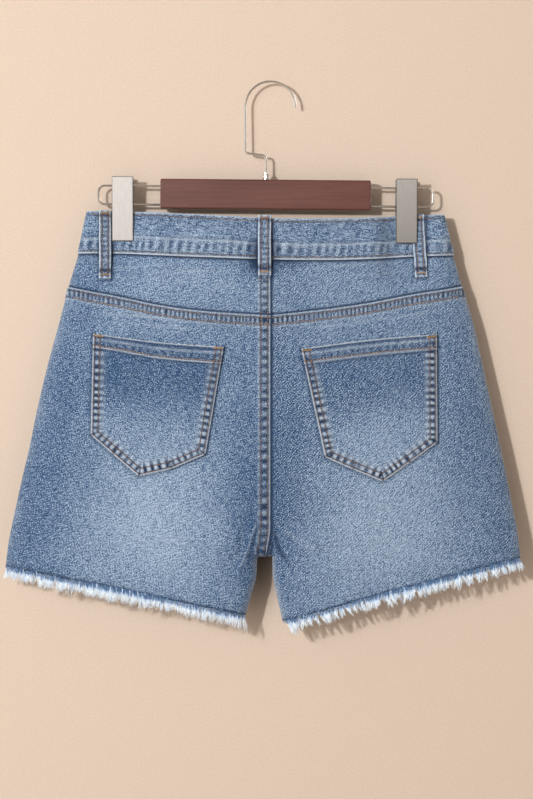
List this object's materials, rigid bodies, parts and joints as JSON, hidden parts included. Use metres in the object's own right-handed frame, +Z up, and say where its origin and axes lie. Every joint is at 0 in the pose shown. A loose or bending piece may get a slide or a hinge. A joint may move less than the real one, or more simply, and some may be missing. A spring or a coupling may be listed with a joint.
{
  "type": "denim shorts on a clip hanger",
  "caption": "Mid-blue denim shorts with yoke, patch pockets, belt loops and frayed raw hems, hanging by the waistband from a wooden-bar hanger with metal clips and a wire hook",
  "frame": {"origin": "inside the top of the hanger's hook, on the point that rests on the rod or wall hook", "axes": "+Z up; the back of the shorts faces -Y and the front faces +Y; the wearer's left leg is at -X"},
  "size_m": [0.519, 0.0395, 0.5561],
  "materials": {
    "body_denim": "washed mid-blue stretch denim, faded at the seat and the middle of each leg",
    "waistband_denim": "double washed denim with roped, abraded edges",
    "pocket_denim": "washed denim with pale folded edges",
    "loop_denim": "pressed, folded washed denim",
    "frayed_threads": "loose off-white cotton threads, pale blue at the root",
    "zip_tape": "woven navy tape",
    "antique_brass": "aged satin brass",
    "stained_wood": "dark red-brown stain under satin varnish",
    "plated_wire": "bright plated round wire",
    "satin_nickel": "satin nickel-plated sheet steel"
  },
  "bodies": {
    "root": {"waistband": "waistband_denim", "yoke_left": "body_denim", "yoke_right": "body_denim", "back_left": "body_denim", "back_right": "body_denim", "front_left": "body_denim", "front_right": "body_denim", "back_pocket_left": "pocket_denim", "back_pocket_right": "pocket_denim", "belt_loop_back_left": "loop_denim", "belt_loop_back_centre": "loop_denim", "belt_loop_back_right": "loop_denim", "belt_loop_front_left": "loop_denim", "belt_loop_front_right": "loop_denim", "fringe_left": "frayed_threads", "fringe_right": "frayed_threads", "zip_tape": "zip_tape", "zip_slider": "antique_brass", "zip_pull": "antique_brass", "waist_button": "antique_brass", "hanger_bar": "stained_wood", "hanger_hook": "plated_wire", "hanger_collar": "plated_wire", "rail_left": "plated_wire", "rail_right": "plated_wire", "clip_left_back_plate": "satin_nickel", "clip_left_front_plate": "satin_nickel", "clip_left_spring": "plated_wire", "clip_right_back_plate": "satin_nickel", "clip_right_front_plate": "satin_nickel", "clip_right_spring": "plated_wire"}
  },
  "joints": []
}
